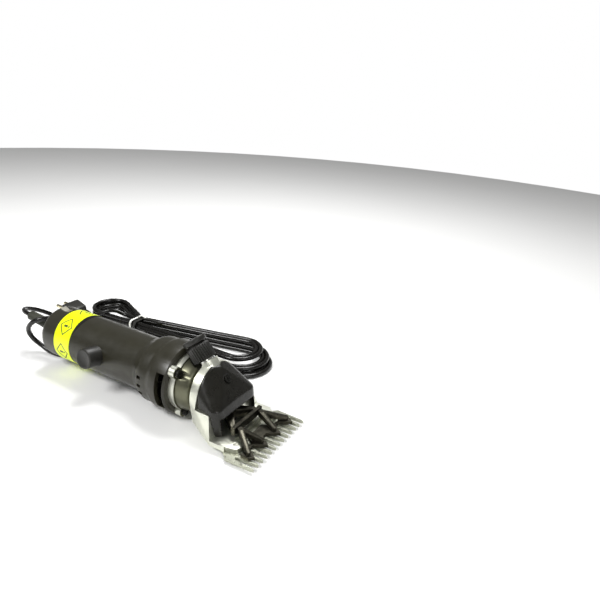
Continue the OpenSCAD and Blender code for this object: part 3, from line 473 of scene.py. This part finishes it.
def hank_points():
    """The turns of the folded cord: along the near side, round the front, back and round the rear."""
    points = []
    nx, ny = HANK_NECK
    rx, ry = HANK_REAR
    for k, lane in enumerate(HANK_LANES):
        inset, z, fx, fy, front_r = hank_turn(k)
        was_inset, was_z = hank_turn(max(k - 1, 0))[:2]
        neck_r = HANK_NECK_R - inset
        for f in (0.15, 0.4, 0.7) if k else (0.4, 0.7):
            t = min(1.0, 0.4 + f) if k else 1.0
            before = mixed(HANK_NECK_R - was_inset, front_r, f)
            points.append((mixed(nx, fx, f), mixed(ny, fy, f) - mixed(before, mixed(neck_r, front_r, f), t),
                           mixed(was_z, z, t)))
        for degrees in range(-99, 100, 33):
            angle = math.radians(degrees)
            points.append((fx + front_r * math.cos(angle), fy + front_r * math.sin(angle), z))
        for f in (0.7, 0.4, 0.15):
            points.append((mixed(nx, fx, f), mixed(ny, fy, f) + mixed(neck_r, front_r, f), z))
        points.append((nx, ny + neck_r + 0.4, z))
        if k == len(HANK_LANES) - 1:
            points.append((nx - 11, ny + neck_r + 0.2, z + 0.2))
            break
        rear_r = HANK_REAR_R - inset
        touch = math.radians(77)
        tx = rx + rear_r * math.cos(touch)
        ty = ry + rear_r * math.sin(touch)
        for f in (0.33, 0.67):
            points.append((mixed(nx, tx, f), mixed(ny + neck_r, ty, f), z))
        for degrees in (77, 111, 146, 180, 214, 249, 283):
            angle = math.radians(degrees)
            points.append((rx + rear_r * math.cos(angle), ry + rear_r * math.sin(angle), z))
        next_inset, next_z = hank_turn(k + 1)[:2]
        for f, t in ((0.67, 0.12), (0.33, 0.25), (0.0, 0.4)):
            side = mixed(HANK_NECK_R - mixed(inset, next_inset, t), rear_r, f)
            points.append((mixed(nx, rx, f), mixed(ny, ry, f) - side, mixed(z, next_z, t)))
    return points


def smooth_route(points, step=2.5):
    """Points every few millimetres along one smooth curve through the given ones."""
    given = [Vector(p) for p in points]
    last = len(given) - 1
    route = []
    for i in range(last):
        a, b, c, d = given[max(i - 1, 0)], given[i], given[i + 1], given[min(i + 2, last)]
        parts = max(2, int((c - b).length / step))
        for j in range(parts):
            t = j / parts
            route.append(0.5 * (2 * b + (c - a) * t + (2 * a - 5 * b + 4 * c - d) * t * t
                                + (3 * b - a - 3 * c + d) * t ** 3))
    return route + [given[-1]]


def length_of(route):
    return sum((b - a).length for a, b in zip(route, route[1:]))


def mains_cord():
    route = smooth_route(TAIL_ROUTE + hank_points() + END_ROUTE)
    curve = bpy.data.curves.new("mains_cord", "CURVE")
    curve.dimensions = "3D"
    spline = curve.splines.new("POLY")
    spline.points.add(len(route) - 1)
    for point, place in zip(spline.points, route):
        point.co = (*(place * MM), 1)
    curve.bevel_depth = CORD_D / 2 * MM
    curve.bevel_resolution = 4
    curve.use_fill_caps = True
    spline.use_smooth = True
    piece = bpy.data.objects.new("mains_cord", curve)
    bpy.context.scene.collection.objects.link(piece)
    curve.materials.append(SHEATH)
    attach(piece, "body")
    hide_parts("cord_tail", "cord_hank", "cord_end")
    return piece, length_of(route) * MM


def cord_ties():
    """A paper twist tie and a dark strap round the neck of the hank, each with its loose end."""
    half_w, low, high, corner = HANK_NECK_R + TIE_SIDE, 0.3, HANK_TOP + TIE_TOP, 4
    bands = [(-1.5, 2.2, 9, 2.5, TIE_WHITE), (4.5, 3.4, 24, 1.2, KNOB)]
    pieces = []
    for i, (x, wide, reach, lift, material) in enumerate(bands):
        loop = []
        for cy, cz, start in ((half_w - corner, high - corner, 0), (corner - half_w, high - corner, 90),
                              (corner - half_w, low + corner, 180), (half_w - corner, low + corner, 270)):
            for degrees in range(start, start + 91, 30):
                angle = math.radians(degrees)
                loop.append((HANK_NECK[0] + x, HANK_NECK[1] + cy + corner * math.cos(angle),
                             cz + corner * math.sin(angle)))
        pieces.append(strip(loop, wide, 0.7, lambda along: Vector((1, 0, 0)), f"tie_band_{i}",
                            material, True, True))
        route = [(HANK_NECK[0] + x + reach * t, HANK_NECK[1] + 2 + 3 * t,
                  HANK_TOP + 0.9 + lift * math.sin(math.pi * t)) for t in (0, 0.2, 0.4, 0.6, 0.8, 1)]
        pieces.append(strip(route, 2.4, 0.7, lambda along: Vector((0, 0, 1)).cross(along), f"tie_end_{i}",
                            material, False, False))
    return pieces


def plug():
    """Moulded two-pin plug: a ribbed neck, a rounded body that widens towards the pins, and round pins."""
    base = Matrix.Translation(Vector(PLUG_AT) * MM) @ Matrix.Rotation(math.pi, 4, "Z")
    lay = base @ Matrix.Rotation(math.radians(90), 4, "Y")
    bm = bmesh.new()
    outline = [(0, CORD_D / 2 - 0.1), (0, 3.3)]
    for i in range(5):
        start, grow = i * 2.2, i * 0.36
        outline += [(1 + start, 3.5 + grow), (2.1 + start, 3.5 + grow), (2.3 + start, 3.0 + grow),
                    (3.0 + start, 3.0 + grow)]
    outline += [(12.5, 5.4), (16, 6.3), (17, 0)]
    turned(bm, outline, 48)
    set_down(bm, lay)
    neck = finished(bm, "plug_neck", PLUG, "plug_body", angle=30)
    bm = bmesh.new()
    bmesh.ops.create_cube(bm, size=1.0)
    for vert in bm.verts:
        front = vert.co.x > 0
        vert.co = Vector(((22.3 if front else -0.5) * 0.9 + 11.3, vert.co.y * (24 if front else 15),
                          vert.co.z * (16.4 if front else 12))) * MM
    bmesh.ops.bevel(bm, geom=bm.edges[:] + bm.verts[:], offset=0.0034, segments=4, affect="EDGES",
                    profile=0.5, material=-1)
    set_down(bm, base)
    shell = finished(bm, "plug_shell", PLUG, "plug_body", angle=50)
    pins = []
    for y in (-5, 5):
        pin = bmesh.new()
        turned(pin, [(30, 0), (30, 2.6), (31.3, 2.6), (31.5, 2.0), (46.2, 2.0), (46.8, 1.5), (47, 0)], 32)
        set_down(pin, base @ Matrix.Translation((0, y * MM, 0)) @ Matrix.Rotation(math.radians(90), 4, "Y"))
        pins.append(pin)
    return neck, shell, gathered(pins, "plug_pins_round", PRONG, "plug_pins", 40)


# ---------------------------------------------------------------- printed marks and a painted shadow on the barrel

def on_barrel(x, arc, height, radius):
    """A point on the barrel, from its station, its arc length round the axis and its height."""
    angle = arc / radius
    reach = (radius + height) * MM
    return station(x) + Vector((0, -reach * math.cos(angle), reach * math.sin(angle)))


def stroke(bm, start, end, wide, radius, bottom=-0.05, top=0.05):
    """A printed line on the barrel from one (station, arc length) to another."""
    first, last = Vector(start), Vector(end)
    side = Vector((last.y - first.y, first.x - last.x)).normalized() * wide / 2
    parts = max(1, int((last - first).length / 1.0))
    rings = []
    for i in range(parts + 1):
        middle = first.lerp(last, i / parts)
        rings.append([on_barrel(middle.x + side.x * s, middle.y + side.y * s, h, radius)
                      for s, h in ((-1, bottom), (1, bottom), (1, top), (-1, top))])
    lofted(bm, rings)


def label_marks():
    """Plain diamond outlines with a bar and a dot in each, printed round the label."""
    bm = bmesh.new()
    middle_x = (LABEL_X0 + LABEL_X1) / 2
    for k in range(6):
        middle = math.radians(48 - 60 * k) * LABEL_R
        corners = [(middle_x + 7 * math.cos(math.pi / 2 * i), middle + 8.5 * math.sin(math.pi / 2 * i))
                   for i in range(4)]
        for i in range(4):
            stroke(bm, corners[i - 1], corners[i], 0.9, LABEL_R)
        stroke(bm, (middle_x - 2.6, middle), (middle_x + 1.6, middle), 2.0, LABEL_R)
        stroke(bm, (middle_x + 2.6, middle), (middle_x + 3.8, middle), 1.6, LABEL_R)
    return finished(bm, "label_marks", INK, "warning_label", False)


def painted_shadow_band():
    """A painted shadow: a thin dark strip laid on the barrel in front of the label, wide over the top and
    gone at the sides.
    """
    bm = bmesh.new()
    rings = []
    for i in range(49):
        arc = math.radians(mixed(34, 146, i / 48)) * GRIP_R
        wide = max(0.1, 4.2 * math.sin(math.pi * i / 48) ** 0.5)
        rings.append([on_barrel(LABEL_X1 + 0.1 + x, arc, h, GRIP_R)
                      for x, h in ((0, -0.05), (wide, -0.05), (wide, 0.12), (0, 0.12))])
    lofted(bm, rings)
    return finished(bm, "painted_shadow_band", PAINTED_SHADOW, "rear_cover", False)


# ---------------------------------------------------------------- build

cord_piece, cord_length = mains_cord()
relief = strain_relief()
ties = cord_ties()
plug_pieces = plug()

tension_knob()
gathered([brush_cap(1), brush_cap(-1)], "brush_caps_round", KNOB, "brush_caps", 35)
label_marks()
# A painted shadow strip in front of the label.
painted_shadow_band()

for eased_node, round_mm in (("collar", 0.5), ("gear_plate", 0.4), ("gearbox", 0.6), ("head_casting", 0.7),
                             ("fork", 0.6), ("foot_left", 0.7), ("foot_right", 0.7), ("foot_clip", 0.35),
                             ("cutter", 0.3), ("comb", 0.3), ("flange_screws", 0.5), ("cover_screw", 0.4),
                             ("rear_cover", 0.35), ("motor_housing", 0.35),
                             ("switch_rocker", 0.3), ("switch_body", 0.3), ("comb_screws", 0.3)):
    eased(eased_node, round_mm)
softened("head_cover", 0.5, 14)


# ---------------------------------------------------------------- studio

def studio():
    scene = bpy.context.scene
    scene.view_settings.view_transform = "Standard"
    world = bpy.data.worlds.new("studio")
    scene.world = world
    world.use_nodes = True
    sky = world.node_tree.nodes["Background"]
    sky.inputs["Color"].default_value = (1, 1, 1, 1)
    ray = world.node_tree.nodes.new("ShaderNodeLightPath")
    level = world.node_tree.nodes.new("ShaderNodeMapRange")
    level.inputs["To Min"].default_value = 0.24
    level.inputs["To Max"].default_value = 1.0
    world.node_tree.links.new(ray.outputs["Is Camera Ray"], level.inputs["Value"])
    world.node_tree.links.new(level.outputs["Result"], sky.inputs["Strength"])

    bm = bmesh.new()
    bmesh.ops.create_circle(bm, cap_ends=True, segments=64, radius=1.6)
    mesh = bpy.data.meshes.new("floor")
    bm.to_mesh(mesh)
    bm.free()
    floor = bpy.data.objects.new("floor", mesh)
    scene.collection.objects.link(floor)
    paper = surface("floor_paper", (0.93, 0.93, 0.92), roughness=0.9, shade=0.01, patch=3, grain=300,
                    depth=0.00001, specular=0.1)
    mesh.materials.append(paper)

    for name, place, size, power in (
            ("key", (-0.35, -0.75, 0.95), 0.42, 11), ("fill", (0.95, -0.5, 0.55), 0.5, 2.5),
            ("top", (-0.1, 0.45, 1.0), 0.45, 10)):
        lamp = bpy.data.lights.new(name, "AREA")
        lamp.shape = "DISK"
        lamp.size = size
        lamp.energy = power
        holder = bpy.data.objects.new(name, lamp)
        holder.location = place
        holder.rotation_euler = (Vector((0, 0, 0.02)) - Vector(place)).to_track_quat("-Z", "Y").to_euler()
        scene.collection.objects.link(holder)

    camera = bpy.data.cameras.new("camera")
    camera.sensor_width = 36
    camera.lens = CAMERA_LENS
    camera.clip_start = 0.01
    holder = bpy.data.objects.new("camera", camera)
    turn = (Matrix.Rotation(math.radians(CAMERA_HEADING), 4, "Z")
            @ Matrix.Rotation(math.radians(CAMERA_PITCH), 4, "X"))
    holder.matrix_world = (Matrix.Translation(station(*CAMERA_AT)) @ turn
                           @ Matrix.Rotation(math.radians(CAMERA_ROLL), 4, "Z"))
    scene.collection.objects.link(holder)
    scene.camera = holder


studio()

bpy.context.view_layer.update()
